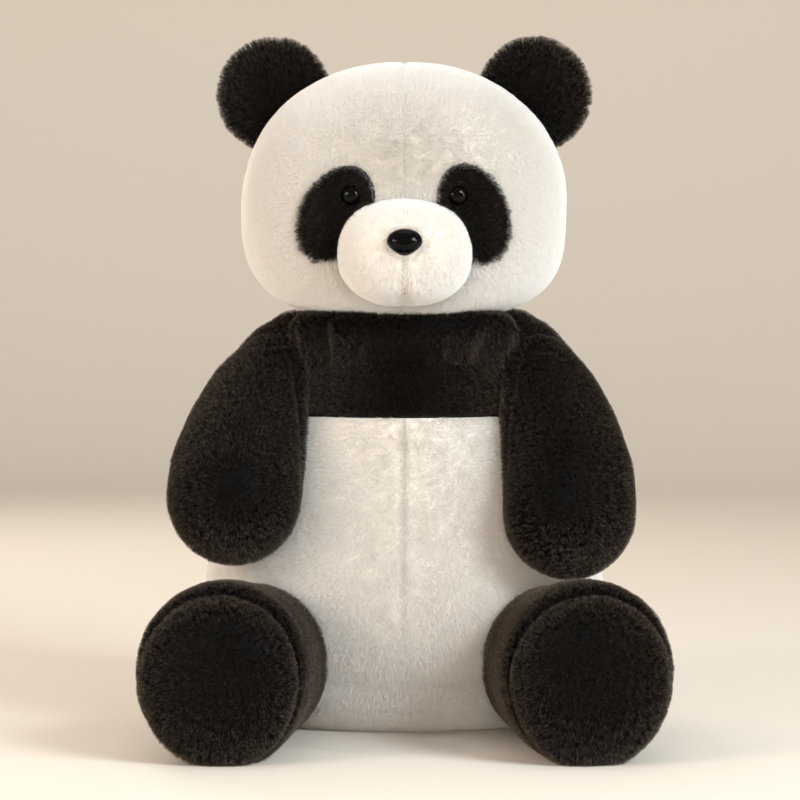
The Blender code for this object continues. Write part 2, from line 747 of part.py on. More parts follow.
def build_leg(side, pivot):
    """A leg tube of an upper and a lower panel, closed by the round sole."""
    inner = helper(leg_mesh(f"leg_lining_{side}", side, FABRIC), pivot)
    way = leg_way(side)
    seam = mirrored(HIP, side) + way * SOLE_SEAM
    tube = side_helper(f"leg_space_{side}", seam - way * GAP, -way)
    sole = side_helper(f"sole_space_{side}", seam + way * GAP, way)
    middle = LEG_PROFILE[0][2] + LEG_LIFT
    for half, up in (("upper", 1), ("lower", -1)):
        side_seam = Vector((0, 0, middle + up * GAP))
        space = side_helper(f"leg_{half}_space_{side}", side_seam, Vector((0, 0, up)))
        piece(leg_mesh(f"leg_{half}_panel_{side}", side, 0), pivot, BLACK_PLUSH, [space, tube], [inner])
    piece(leg_mesh(f"sole_panel_{side}", side, 0), pivot, BLACK_PLUSH, [sole], [inner])
    piece(leg_mesh(f"leg_stuffing_{side}", side, FABRIC + FIT), pivot, STUFFING)


def main():
    torso = add_pivot("torso_frame", Vector((0, 0, 0)))
    neck = add_pivot("neck_pivot", NECK, torso)
    head = add_pivot("head_pivot", NECK, neck)
    opening = build_head(head)
    build_neck(neck)
    build_torso(torso, opening)
    build_tail(torso)
    for side in SIDES:
        build_ear(side, add_pivot(f"ear_pivot_{side}", mirrored(EAR_PIVOT, side), head))
        build_arm(side, add_pivot(f"arm_pivot_{side}", mirrored(SHOULDER, side), torso))
        build_leg(side, add_pivot(f"leg_pivot_{side}", mirrored(HIP, side), torso))


main()
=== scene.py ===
"""The looks of a seated plush panda: fur skins, seams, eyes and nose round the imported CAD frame.

Each skin starts as a smooth closed shape that follows the CAD piece. It is remeshed evenly, pulled
in along its seams, and cut into the panels that the toy is sewn from. Each panel then gets its
pile. Everything is in metres. The toy looks along -Y, and its left is +X.
"""

import json
import math

import bmesh
import bpy
import numpy as np
from mathutils import Matrix, Vector

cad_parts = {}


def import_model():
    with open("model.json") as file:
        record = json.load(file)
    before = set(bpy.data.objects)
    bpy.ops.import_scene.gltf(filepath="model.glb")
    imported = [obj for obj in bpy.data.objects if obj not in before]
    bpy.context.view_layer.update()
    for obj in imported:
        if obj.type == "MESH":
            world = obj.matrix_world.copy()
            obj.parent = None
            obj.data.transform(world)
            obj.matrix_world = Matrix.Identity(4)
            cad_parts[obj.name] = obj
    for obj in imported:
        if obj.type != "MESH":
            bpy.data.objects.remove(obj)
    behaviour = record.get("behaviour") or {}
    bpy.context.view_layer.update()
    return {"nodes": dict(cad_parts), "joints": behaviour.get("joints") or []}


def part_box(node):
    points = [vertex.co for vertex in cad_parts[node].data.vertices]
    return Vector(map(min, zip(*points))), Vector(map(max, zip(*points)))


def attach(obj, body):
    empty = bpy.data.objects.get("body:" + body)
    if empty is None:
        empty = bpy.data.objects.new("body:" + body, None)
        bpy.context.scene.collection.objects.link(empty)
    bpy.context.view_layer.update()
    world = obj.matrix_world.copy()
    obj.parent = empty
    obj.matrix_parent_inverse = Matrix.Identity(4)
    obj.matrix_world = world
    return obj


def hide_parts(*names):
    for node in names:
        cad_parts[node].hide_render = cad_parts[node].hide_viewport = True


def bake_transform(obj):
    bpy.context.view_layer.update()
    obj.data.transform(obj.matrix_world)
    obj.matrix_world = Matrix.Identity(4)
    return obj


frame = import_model()

SIDES = {"left": 1, "right": -1}

# Fabric
PILE_ROOM = 0.0040  # from the CAD surface in to the fabric's face, filled by the pile
THICKNESS = 0.0016
SEAM_GAP = 0.00005
VOXEL = 0.0020
RELIEF = {True: 0.0006, False: 0.0003}  # height of the tufts in black and in white fabric
RELIEF_SIZE = 0.0036
FILLING_DEPTH = 0.0030  # from the fabric's face to the filling behind it
FILLING_VOXEL = 0.0040
FLOOR_GAP = 0.0006
LUMPS = ((0.0008, 0.034), (0.0004, 0.015))  # height and size of the lumps that the filling makes
FINE_SHARE = 0.6  # size and height of the finest tufts beside the others
STRAND = 0.00018  # thickness of one hair at its root
HAIR_POINTS = 4
TUFTS_PER_METRE = 420.0
TIDY = dict(tuft=0.05, stray=0.07)  # how far black strands gather in tufts and stray
RUFFLED = dict(tuft=0.05, stray=0.10)


# ---- places, from the frame ---------------------------------------------------------------------


def box_of(*nodes):
    """The lowest and highest corner of several CAD nodes, as arrays."""
    corners = [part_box(node) for node in nodes]
    low = np.min([np.array(c[0]) for c in corners], axis=0)
    high = np.max([np.array(c[1]) for c in corners], axis=0)
    return low, high


def pivot_of(joint):
    found = next(j for j in frame["joints"] if j["name"] == joint)
    return np.array(found["pos_m"], float)


head_low, head_high = box_of(
    *[f"{name}_{side}" for name in ("face_panel", "head_back_panel") for side in SIDES]
)
JAW_HEIGHT, CROWN_HEIGHT = 0.0770, 0.0985
FACET_LOSS = 0.0006  # how far the CAD's flat facets cut into the smooth head
HEAD_HALF = np.array(
    [
        (head_high[0] - head_low[0]) / 2 + FACET_LOSS,
        (head_high[1] - head_low[1]) / 2 + FACET_LOSS,
        0,
    ]
)
HEAD_CENTRE = np.array([0.0, (head_high[1] + head_low[1]) / 2, head_high[2] - CROWN_HEIGHT])
HEAD_ROUND, CROWN_ROUND, JAW_ROUND = 2.3, 2.15, 3.1
SIDE_SEAM_Y = 0.012
NECK = pivot_of("head_turn")
NECK_RADIUS = 0.0435

muzzle_low, muzzle_high = box_of("muzzle_panel")
MUZZLE_HALF = np.array([0.0435, 0.043, 0.0348])
MUZZLE_Z = (muzzle_low[2] + muzzle_high[2]) / 2
MUZZLE_CENTRE = np.array([0.0, muzzle_low[1] + MUZZLE_HALF[1], MUZZLE_Z])
MUZZLE_ROUND = 2.3

PATCH_AT = (0.0446, 0.3440)  # the middle of an eye patch, across and up
PATCH_HALF = (0.0212, 0.0320)
PATCH_LAP = 0.0012  # how far a patch reaches over the face round it
PATCH_PROUD = 0.0009
PATCH_TILT = {"left": math.radians(21), "right": math.radians(30)}

NOSE_AT = MUZZLE_CENTRE + [0, -0.0395, 0.0048]
NOSE_TILT = math.radians(-12)
NOSE_SIZE = (0.0232, 0.0189, 0.0075)  # width, height, depth
EYE_X = 0.036
EYE_Z = 0.3555
EYE_OUTWARDS = 0.20  # how far an eye looks to its side, as a slope
EYE_SINK = 0.0045
EYE_RADIUS = 0.0066
EYE_DOME = 0.0052
POST_RADIUS = 0.0022

STITCH_PITCH = 0.0026
STITCH_HALF = (0.00042, 0.0005, 0.0010)

EAR_HALF = np.array([0.0395, 0.0165, 0.0395])
EAR_BEND = (0.002, 0.016)  # before and beyond the fold's axis, given for an ear's bend, which no piece takes
ARM_BEND = (0.004, 0.060)  # the same along an arm, from the shoulder's axis

TORSO_PROFILE = np.array(
    [
        (0.000, 0.1100, 0.0900),
        (0.022, 0.1300, 0.1080),
        (0.065, 0.1390, 0.1160),
        (0.110, 0.1340, 0.1120),
        (0.160, 0.1150, 0.1010),
        (0.210, 0.0850, 0.0840),
        (0.245, 0.0765, 0.0690),
        (0.272, 0.0690, 0.0530),
    ]
)
TORSO_MIDDLE_Z = 0.13  # from here the body rounds off upwards and downwards
TORSO_LID = 0.004  # how far the body's rounded top reaches above its profile
COLLAR_CENTRE = np.array([0, -0.008, 0.262])  # the gathered roll of fabric under the head
COLLAR_HALF = np.array([0.080, 0.054, 0.0168])
SEAT_SEAM_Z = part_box("seat_panel")[1].z
LAP_Z = 0.038  # the crease where the belly sags over the seat
BELLY_SEAM_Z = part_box("chest_panel")[0].z + 0.0016

ARM_PATH = np.array(
    [
        (0.0780, -0.018, 0.2410, 0.0335),
        (0.0955, -0.036, 0.2165, 0.0370),
        (0.1045, -0.058, 0.1930, 0.0402),
        (0.1110, -0.082, 0.1680, 0.0426),
        (0.1125, -0.101, 0.1470, 0.0425),
    ]
)
ARM_INNER_X = 0.0675
ARM_ROOT_ROUND = 0.010
ARMHOLE_Z = 0.215  # above this height an arm's inner end is sewn to the body
ARM_SEAM_NORMAL = np.array([-0.55, 0.75, -0.36])
HAND_LIFT = {"left": 0.001, "right": 0.010}
HAND_IN = {"left": 0.005, "right": 0.001}  # how far each hand hangs nearer to the belly than in CAD
SHOULDER_TOP = np.array([0.0725, -0.018, 0.2575])  # the tuck of fabric where an arm meets the neck
SHOULDER_TOP_RADIUS = 0.0225

LEG_SPLAY = math.radians(6.5)
LEG_PROFILE = np.array(
    [
        (0.000, 0.0475, 0.0480),
        (0.045, 0.0490, 0.0500),
        (0.100, 0.0515, 0.0540),
        (0.135, 0.0530, 0.0555),
        (0.148, 0.0495, 0.0515),
    ]
)
SOLE_SEAM = 0.1435
SOLE_BULGE = 0.022
SOLE_EDGE = 0.012  # how far before its end a leg starts rounding into the sole


# ---- shapes: each function is under 1 inside its shape -------------------------------------------


def superellipse(points, centre, half, power):
    return (np.abs((points - centre) / half) ** power).sum(axis=1) ** (1 / power)


def head_shape(points, inset=0.0):
    p = points - HEAD_CENTRE
    half = HEAD_HALF - inset
    x, y = (np.abs(p[:, k]) / half[k] for k in (0, 1))
    around = (x**HEAD_ROUND + y**HEAD_ROUND) ** (1 / HEAD_ROUND)
    above = p[:, 2] > 0
    power = np.where(above, CROWN_ROUND, JAW_ROUND)
    height = np.where(above, CROWN_HEIGHT, JAW_HEIGHT) - inset
    return (around**power + (np.abs(p[:, 2]) / height) ** power) ** (1 / power)


def muzzle_shape(points, inset=0.0):
    return superellipse(points, MUZZLE_CENTRE, MUZZLE_HALF - inset, MUZZLE_ROUND)


def ear_place(side):
    low, high = box_of(f"ear_front_panel_{side}", f"ear_back_panel_{side}")
    outer = high[0] if side == "left" else low[0]
    x = outer - SIDES[side] * EAR_HALF[0]
    return np.array([x, (low[1] + high[1]) / 2, high[2] - EAR_HALF[2]])


def ear_shape(points, side, inset=0.0):
    return superellipse(points, ear_place(side), EAR_HALF - inset, 2)


def profile_at(table, at):
    """A table's other columns, read smoothly at values of its first one."""
    steps, reach = 240, 15  # the steps that the table is cut into, and how many round off a corner
    fine = np.linspace(table[0, 0], table[-1, 0], steps + 1)
    kernel = np.hanning(2 * reach + 1)
    columns = []
    for k in range(1, table.shape[1]):
        rough = np.interp(fine, table[:, 0], table[:, k])
        extended = np.pad(rough, reach, mode="reflect", reflect_type="odd")
        soft = np.convolve(extended, kernel / kernel.sum(), mode="valid")
        columns.append(np.interp(at, fine, soft))
    return columns


def torso_shape(points, inset=0.0):
    z = points[:, 2]
    width, depth = profile_at(TORSO_PROFILE, z)
    flat = np.hypot(points[:, 0] / (width - inset), points[:, 1] / (depth - inset))
    middle, top = TORSO_MIDDLE_Z, TORSO_PROFILE[-1, 0] + TORSO_LID
    above, below = (z - middle) / (top - inset - middle), (middle - z) / (middle - FLOOR_GAP)
    lid = np.where(z > middle, above, below)
    power = np.where(z > middle, 14, 9)
    body = (flat**power + np.clip(lid, 0, None) ** power) ** (1 / power)
    yoke = shoulder_yoke(points, inset)
    return np.minimum(body, yoke)


def shoulder_yoke(points, inset):
    """The roll of fabric that runs across the top of the body from one armhole to the other."""
    shoulder = ARM_PATH[0]
    across = np.abs(points[:, 0]) / (ARM_INNER_X + 0.005)
    radius = shoulder[3] - 0.001 - inset
    round_part = np.hypot(points[:, 1] - shoulder[1], points[:, 2] - shoulder[2]) / radius
    return (across**12 + round_part**12) ** (1 / 12)


def arm_stations(side):
    """Centres and radii along an arm, close together."""
    path = ARM_PATH.copy()
    steps = np.linspace(0, 1, len(path))
    path[:, 0] = SIDES[side] * (path[:, 0] - HAND_IN[side] * steps**2)
    path[:, 2] += HAND_LIFT[side] * steps**2
    table = np.column_stack([steps, path])
    return np.column_stack(profile_at(table, np.linspace(0, 1, 60)))


def arm_shape(points, side, inset=0.0):
    stations = arm_stations(side)
    nearest = np.full(len(points), 1e9)
    for station in stations:
        reach = np.linalg.norm(points - station[:3], axis=1) / (station[3] - inset)
        nearest = np.minimum(nearest, reach)
    top = ball_shape(points, SHOULDER_TOP * [SIDES[side], 1, 1], SHOULDER_TOP_RADIUS - inset)
    nearest = np.minimum(nearest, top)
    from_root = (points[:, 0] * SIDES[side] - ARM_INNER_X) / ARM_ROOT_ROUND
    flat = np.clip(1 - from_root, 0, None)
    return (nearest**6 + flat**6) ** (1 / 6)


def leg_frame(side):
    """The hip, the way along a leg, and the way across it."""
    hip = pivot_of(f"leg_{side}_spread") * [1, 1, 0]
    along = np.array([math.sin(LEG_SPLAY) * SIDES[side], -math.cos(LEG_SPLAY), 0])
    return hip, along, np.array([-along[1], along[0], 0])


def leg_shape(points, side, inset=0.0):
    hip, way, sideways = leg_frame(side)
    p = points - hip
    along = p @ way
    root = LEG_PROFILE[0]
    tip = LEG_PROFILE[-1]
    width, height = profile_at(LEG_PROFILE, np.clip(along, 0, tip[0]))
    middle = height + 0.0004
    below = p[:, 2] < middle
    up = (p[:, 2] - middle) / np.where(below, height, height - inset)
    flat = np.hypot((p @ sideways) / (width - inset), up)
    behind = np.clip(-along, 0, None) / (root[1] - inset)
    ahead = np.clip(along - tip[0] + SOLE_EDGE, 0, None) / (SOLE_BULGE + SOLE_EDGE - inset)
    capped = np.where(ahead > 0, (np.clip(flat, 0, None) ** 3 + ahead**3) ** (1 / 3) - flat, 0)
    return np.sqrt(flat**2 + behind**2) + capped


def ball_shape(points, centre, radius):
    return np.linalg.norm(points - centre, axis=1) / radius


# ---- even skins ---------------------------------------------------------------------------------


def link(obj):
    bpy.context.scene.collection.objects.link(obj)
    return obj


def directions(cuts):
    """Unit directions over a sphere on a grid of even quads, and the quads."""
    bm = bmesh.new()
    bmesh.ops.create_cube(bm, size=2)
    bmesh.ops.subdivide_edges(bm, edges=bm.edges, cuts=cuts, use_grid_fill=True)
    bm.verts.index_update()
    points = np.array([v.co for v in bm.verts])
    quads = [[v.index for v in f.verts] for f in bm.faces]
    bm.free()
    points = np.tan(points * math.pi / 4)
    return points / np.linalg.norm(points, axis=1)[:, None], quads


def cast_out(centre, inside, far=0.35, cuts=34, steps=90, halvings=18):
    """The closed surface that rays from centre first meet, as points and quads."""
    ways, quads = directions(cuts)
    reach = np.zeros(len(ways))
    step = far / steps
    going = np.ones(len(ways), bool)
    for _ in range(steps):
        ahead = inside(centre + ways * (reach + step)[:, None])
        going &= ahead
        reach = np.where(going, reach + step, reach)
    low, high = reach, reach + step
    for _ in range(halvings):
        middle = (low + high) / 2
        hit = inside(centre + ways * middle[:, None])
        low, high = np.where(hit, middle, low), np.where(hit, high, middle)
    return centre + ways * low[:, None], quads


def coordinates(mesh):
    flat = np.empty(len(mesh.vertices) * 3, np.float32)
    mesh.vertices.foreach_get("co", flat)
    return flat.reshape(-1, 3).astype(float)


def normals(mesh):
    flat = np.empty(len(mesh.vertices) * 3, np.float32)
    mesh.vertex_normals.foreach_get("vector", flat)
    return flat.reshape(-1, 3).astype(float)


def set_coordinates(mesh, points):
    mesh.vertices.foreach_set("co", points.astype(np.float32).ravel())
    mesh.update()


def remeshed(name, mesh, voxel, rounds):
    """An object with an even, relaxed copy of a mesh, which is used up."""
    obj = link(bpy.data.objects.new(name, mesh))
    remesh = obj.modifiers.new("even", "REMESH")
    remesh.mode = "VOXEL"
    remesh.voxel_size = voxel
    relax = obj.modifiers.new("relax", "SMOOTH")
    relax.factor = 0.5
    relax.iterations = rounds
    graph = bpy.context.evaluated_depsgraph_get()
    made = bpy.data.meshes.new_from_object(obj.evaluated_get(graph))
    obj.modifiers.clear()
    obj.data = made
    bpy.data.meshes.remove(mesh)
    return obj


def even_skin(name, centre, inside, voxel=VOXEL):
    """An even quad mesh over a shape."""
    points, quads = cast_out(np.array(centre, float), inside)
    mesh = bpy.data.meshes.new(name)
    mesh.from_pydata(points.tolist(), [], quads)
    return remeshed(name, mesh, voxel, 8)


def lattice_noise(points, size, seed):
    """Smooth noise from -1 to 1 with features of about the given size."""
    p = points / size
    cell = np.floor(p).astype(np.int64)
    t = p - cell
    t = t * t * (3 - 2 * t)
    total = np.zeros(len(points))
    for corner in range(8):
        bits = np.array([(corner >> k) & 1 for k in range(3)])
        c = cell + bits
        mixed = c[:, 0] * 73856093 ^ c[:, 1] * 19349663 ^ c[:, 2] * 83492791 ^ (seed * 2654435761)
        mixed = (mixed ^ (mixed >> 13)) * 1274126177 & 0x7FFFFFFF
        value = ((mixed ^ (mixed >> 16)) & 0xFFFF) / 32767.5 - 1
        weight = np.prod(np.where(bits == 1, t, 1 - t), axis=1)
        total += value * weight
    return total


def groove(distance, depth, width):
    """How far a seam pulls the fabric in at a distance from it: sharp there, soft further out."""
    d = np.abs(distance)
    return depth * (0.6 * np.exp(-((d / width) ** 2)) + 0.4 * np.exp(-d / (2.2 * width)))


def dent(away, depth, reach):
    """How far a dent pulls the fabric in at a distance from its middle."""
    return depth * np.exp(-((away / reach) ** 2))


def before(distance, softness):
    """1 at a distance well below 0, and 0 well above it."""
    return 1 / (1 + np.exp(distance / softness))


def sculpt(obj, pull, seed, black=True):
    """Moves a skin's points in by pull(points), and adds soft lumps and the tufts' relief."""
    mesh = obj.data
    points, outward = coordinates(mesh), normals(mesh)
    (low, wide), (lower, narrow) = LUMPS
    lumps = low * lattice_noise(points, wide, seed)
    lumps += lower * lattice_noise(points, narrow, seed + 1)
    points = points - outward * (pull(points) - lumps)[:, None]
    set_coordinates(mesh, points)
    outward = normals(mesh)
    fine = lattice_noise(points, RELIEF_SIZE * FINE_SHARE, seed + 3)
    tufts = lattice_noise(points, RELIEF_SIZE, seed + 2) + FINE_SHARE * fine
    points = points + outward * (RELIEF[black] * 0.6 * tufts)[:, None]
    points[:, 2] = np.maximum(points[:, 2], FLOOR_GAP)
    set_coordinates(mesh, points)


def settle(obj, body, bend=None):
    """Puts a piece on its body. With bend, (body, start, end), its placement is only baked into
    its mesh, and it is put on no body.
    """
    if bend is None:
        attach(obj, body)
    else:
        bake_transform(obj)


def fill(skin, body, node, bend=None):
    """The fibre filling: a loose body just inside a skin, in place of the CAD's one."""
    mesh = skin.data.copy()
    set_coordinates(mesh, coordinates(mesh) - normals(mesh) * FILLING_DEPTH)
    obj = remeshed(f"{node}_fibre", mesh, FILLING_VOXEL, 4)
    obj.data.materials.clear()
    obj.data.materials.append(STUFFING)
    obj.data.shade_smooth()
    settle(obj, body, bend)
    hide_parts(node)


# ---- panels -------------------------------------------------------------------------------------


def cut_panel(skin, name, planes, hole=None):
    """The part of a skin in front of every plane, given as (point, normal), and outside a hole."""
    bm = bmesh.new()
    bm.from_mesh(skin.data)
    for point, normal in planes:
        normal = Vector(normal).normalized()
        geometry = list(bm.verts) + list(bm.edges) + list(bm.faces)
        bmesh.ops.bisect_plane(
            bm,
            geom=geometry,
            plane_co=Vector(point) + normal * SEAM_GAP,
            plane_no=normal,
            clear_inner=True,
            dist=1e-6,
        )
    if hole is not None:
        centres = np.array([f.calc_center_median() for f in bm.faces])
        gone = hole(centres)
        bm.faces.ensure_lookup_table()
        bmesh.ops.delete(bm, geom=[bm.faces[i] for i in np.flatnonzero(gone)], context="FACES")
    mesh = bpy.data.meshes.new(name)
    bm.to_mesh(mesh)
    bm.free()
    mesh.shade_smooth()
    return link(bpy.data.objects.new(name, mesh))


def thicken(obj):
    solidify = obj.modifiers.new("fabric", "SOLIDIFY")
    solidify.thickness = THICKNESS
    solidify.offset = -1
    solidify.use_rim = True


# ---- pile ---------------------------------------------------------------------------------------


def grow_pile(obj, length, density, bare, seed, lean=(0, 0, -0.2), tuft=0.0, stray=0.07):
    """Hair over a panel: length in metres, and density in tufts per square centimetre.

    Lean is the way that the pile lies, as a share of its length. Bare says where nothing grows.
    """
    obj.modifiers.new("pile", "PARTICLE_SYSTEM")
    system = obj.particle_systems[0]
    system.seed = seed
    group = obj.vertex_groups.new(name="pile")
    kept = ~bare(coordinates(obj.data))
    group.add([int(i) for i in np.flatnonzero(kept)], 1.0, "REPLACE")
    system.vertex_group_density = group.name
    area = sum(face.area for face in obj.data.polygons)
    upright = math.sqrt(max(0.05, 1 - sum(x * x for x in lean)))
    hair = system.settings
    hair.type = "HAIR"
    hair.count = max(20, int(area * 1e4 * density))
    hair.use_advanced_hair = True
    hair.normal_factor = length * upright / HAIR_POINTS
    hair.object_align_factor = [length * x / HAIR_POINTS for x in lean]
    hair.factor_random = length * stray / HAIR_POINTS
    hair.hair_step = HAIR_POINTS
    hair.display_step = 2
    hair.render_step = 3
    hair.child_type = "INTERPOLATED"
    hair.child_percent = 1
    hair.rendered_child_count = 14
    hair.clump_factor = tuft
    hair.clump_shape = -0.2
    hair.roughness_2 = length * stray
    hair.roughness_2_size = 0.4
    hair.roughness_endpoint = length * stray * 1.5
    hair.roughness_end_shape = 1.5
    hair.root_radius = 1.0
    hair.tip_radius = 0.35
    hair.radius_scale = STRAND * 1
    hair.material = 2  # the pile's own slot, after the fabric's


# ---- materials ----------------------------------------------------------------------------------


def new_material(name):
    material = bpy.data.materials.new(name)
    material.use_nodes = True
    return material, material.node_tree.nodes, material.node_tree.links


def feed(links, socket, value):
    """Links an output to an input, or gives the input a number."""
    if isinstance(value, bpy.types.NodeSocket):
        links.new(value, socket)
    else:
        socket.default_value = value


def noise(nodes, links, where, scale, detail=2):
    """A noise texture's grey, over places given by an output."""
    texture = nodes.new("ShaderNodeTexNoise")
    texture.inputs["Scale"].default_value = scale
    texture.inputs["Detail"].default_value = detail
    links.new(where, texture.inputs["Vector"])
    return texture.outputs["Fac"]


def maths(nodes, links, operation, *values):
    node = nodes.new("ShaderNodeMath")
    node.operation = operation
    for socket, value in zip(node.inputs, values):
        feed(links, socket, value)
    return node.outputs["Value"]


def spread(nodes, links, value, low, high, start=0.0, end=1.0):
    """A value from start to end, taken to low to high."""
    node = nodes.new("ShaderNodeMapRange")
    limits = {"From Min": start, "From Max": end, "To Min": low, "To Max": high}
    for name, limit in limits.items():
        node.inputs[name].default_value = limit
    links.new(value, node.inputs["Value"])
    return node.outputs["Result"]


def two_colours(nodes, links, share, first, second):
    node = nodes.new("ShaderNodeMix")
    node.data_type = "RGBA"
    node.inputs["A"].default_value = (*first, 1)
    node.inputs["B"].default_value = (*second, 1)
    links.new(share, node.inputs["Factor"])
    return node.outputs["Result"]


def bump(nodes, links, height, strength, distance):
    node = nodes.new("ShaderNodeBump")
    node.inputs["Strength"].default_value = strength
    node.inputs["Distance"].default_value = distance
    links.new(height, node.inputs["Height"])
    links.new(node.outputs["Normal"], nodes["Principled BSDF"].inputs["Normal"])


def fabric_material(name, deep, light, tuft_scale=260.0, sheen=0.4):
    """The knitted ground and lower pile: a random mottle, darker in the tufts' hollows as painted
    shade, fine strands in the bump, and a soft sheen.
    """
    material, nodes, links = new_material(name)
    shader = nodes["Principled BSDF"]
    shader.inputs["Roughness"].default_value = 0.95
    shader.inputs["Sheen Weight"].default_value = sheen
    shader.inputs["Sheen Roughness"].default_value = 0.5
    place = nodes.new("ShaderNodeTexCoord").outputs["Object"]
    drawn_out = nodes.new("ShaderNodeMapping")
    drawn_out.inputs["Scale"].default_value = (1, 1, 0.35)
    links.new(place, drawn_out.inputs["Vector"])
    tufts = noise(nodes, links, place, tuft_scale, 4)
    broad = noise(nodes, links, place, 14)
    strands = noise(nodes, links, drawn_out.outputs["Vector"], 1400, 3)
    broad_share = maths(nodes, links, "MULTIPLY", broad, 0.4)
    # Painted shade: the colour follows the same tufts as the bump, darker in their hollows; the
    # broad noise adds a random mottle.
    share = maths(nodes, links, "MULTIPLY_ADD", tufts, 0.7, broad_share)
    links.new(two_colours(nodes, links, share, deep, light), shader.inputs["Base Color"])
    bump(nodes, links, maths(nodes, links, "ADD", tufts, strands), 0.6, 0.0006)
    return material


def pile_material(name, root, tip, roughness=0.9, through=0.3, specular=0.1, contrast=0.0):
    """One strand: darker at the root, as painted shade among the strands, paler at the tip,
    and letting some light through.

    With contrast, the painted shade runs further up each strand, so only its last part is
    pale, and strands differ more.
    """
    material, nodes, links = new_material(name)
    shader = nodes["Principled BSDF"]
    shader.inputs["Roughness"].default_value = roughness
    shader.inputs["Specular IOR Level"].default_value = specular
    strand = nodes.new("ShaderNodeHairInfo").outputs
    place = nodes.new("ShaderNodeTexCoord").outputs["Object"]
    tufts = noise(nodes, links, place, TUFTS_PER_METRE)
    by_tuft = spread(nodes, links, tufts, 1 - 0.6 * contrast, 1 + 0.7 * contrast, 0.36, 0.66)
    by_strand = spread(nodes, links, strand["Random"], 0.96 - contrast, 1.03 + 1.6 * contrast)
    # Painted shade: each strand's colour runs from a darker root, shaded by the pile round it, to
    # its tip.
    along = maths(nodes, links, "POWER", strand["Intercept"], 1 + 7 * contrast)
    vary = nodes.new("ShaderNodeHueSaturation")
    links.new(two_colours(nodes, links, along, root, tip), vary.inputs["Color"])
    links.new(maths(nodes, links, "MULTIPLY", by_strand, by_tuft), vary.inputs["Value"])
    links.new(vary.outputs["Color"], shader.inputs["Base Color"])
    glow = nodes.new("ShaderNodeBsdfTranslucent")
    links.new(vary.outputs["Color"], glow.inputs["Color"])
    mixed = nodes.new("ShaderNodeMixShader")
    mixed.inputs["Fac"].default_value = through
    links.new(shader.outputs["BSDF"], mixed.inputs[1])
    links.new(glow.outputs["BSDF"], mixed.inputs[2])
    links.new(mixed.outputs["Shader"], nodes["Material Output"].inputs["Surface"])
    return material


def gloss_material(name, colour, roughness, specular=0.5):
    """Moulded gloss plastic with faint moulding waves and fine wear."""
    material, nodes, links = new_material(name)
    shader = nodes["Principled BSDF"]
    shader.inputs["Base Color"].default_value = (*colour, 1)
    shader.inputs["Specular IOR Level"].default_value = specular
    place = nodes.new("ShaderNodeTexCoord").outputs["Object"]
    wear = noise(nodes, links, place, 900, 3)
    worn = spread(nodes, links, wear, roughness, roughness + 0.08)
    links.new(worn, shader.inputs["Roughness"])
    bump(nodes, links, noise(nodes, links, place, 160), 0.08, 0.0002)
    return material


WHITE_FABRIC = fabric_material("white_fabric", (0.78, 0.74, 0.68), (0.88, 0.86, 0.82))
BLACK_FABRIC = fabric_material(
    "black_fabric", (0.002, 0.0016, 0.0013), (0.009, 0.007, 0.006), sheen=0.0
)
# Each pile runs from its root colour, darkened as painted shade among the strands, to its tip
# colour.
WHITE_PILE = pile_material("white_pile", (0.88, 0.84, 0.79), (0.955, 0.945, 0.93), specular=0.03)
BLACK_PILE = pile_material(
    "black_pile",
    (0.0006, 0.0005, 0.0004),
    (0.135, 0.106, 0.084),
    roughness=0.45,
    through=0.06,
    specular=0.16,
    contrast=0.65,
)
GLOSS_BLACK = gloss_material("gloss_black", (0.0008, 0.0008, 0.0008), 0.03, specular=0.12)
STUFFING = fabric_material("fibre_filling", (0.75, 0.75, 0.73), (0.92, 0.92, 0.90), 120.0)
WASHER = gloss_material("washer_plastic", (0.75, 0.75, 0.72), 0.4)
THREAD = fabric_material("thread", (0.30, 0.22, 0.16), (0.45, 0.36, 0.28), 1800.0)


def clothe(obj, black, **pile):
    """Gives a mesh its fabric and pile."""
    obj.data.materials.append(BLACK_FABRIC if black else WHITE_FABRIC)
    obj.data.materials.append(BLACK_PILE if black else WHITE_PILE)
    grow_pile(obj, **pile)


def dress(obj, body, node, black, bend=None, **pile):
    """Clothes a panel, and puts it in its CAD node's place."""
    clothe(obj, black, **pile)
    thicken(obj)
    settle(obj, body, bend)
    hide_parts(node)


def discard(obj):
    mesh = obj.data
    bpy.data.objects.remove(obj)
    bpy.data.meshes.remove(mesh)


# ---- head ---------------------------------------------------------------------------------------


def eye_frame(side):
    """The middle of an eye's rim, and the way that the eye looks."""
    across, up = EYE_X / HEAD_HALF[0], (EYE_Z - HEAD_CENTRE[2]) / CROWN_HEIGHT
    y = -HEAD_HALF[1] * (1 - across**HEAD_ROUND - up**HEAD_ROUND) ** (1 / HEAD_ROUND)
    way = np.array([EYE_OUTWARDS * SIDES[side], -1, 0])
    way = way / np.linalg.norm(way)
    return np.array([EYE_X * SIDES[side], HEAD_CENTRE[1] + y, EYE_Z]) - way * EYE_SINK, way


def patch_reach(across, up, side, grow):
    """How far out a place lies in an eye patch's oval, seen from the front: 1 on its edge."""
    cos, sin = math.cos(PATCH_TILT[side]), math.sin(PATCH_TILT[side])
    x, z = across * cos + up * sin, up * cos - across * sin
    return np.hypot(x / (PATCH_HALF[0] + grow), z / (PATCH_HALF[1] + grow))


def in_patch(points, side, grow=0.0):
    across, up = points[:, 0] * SIDES[side] - PATCH_AT[0], points[:, 2] - PATCH_AT[1]
    return (patch_reach(across, up, side, grow) < 1) & (points[:, 1] < HEAD_CENTRE[1])


def round_patch(obj, side):
    """Moves the points along a patch's edge onto its oval."""
    bm = bmesh.new()
    bm.from_mesh(obj.data)
    for vertex in bm.verts:
        if vertex.is_boundary:
            across = vertex.co.x * SIDES[side] - PATCH_AT[0]
            up = vertex.co.z - PATCH_AT[1]
            share = patch_reach(across, up, side, PATCH_LAP)
            vertex.co.x = (PATCH_AT[0] + across / share) * SIDES[side]
            vertex.co.z = PATCH_AT[1] + up / share
    bm.to_mesh(obj.data)
    bm.free()


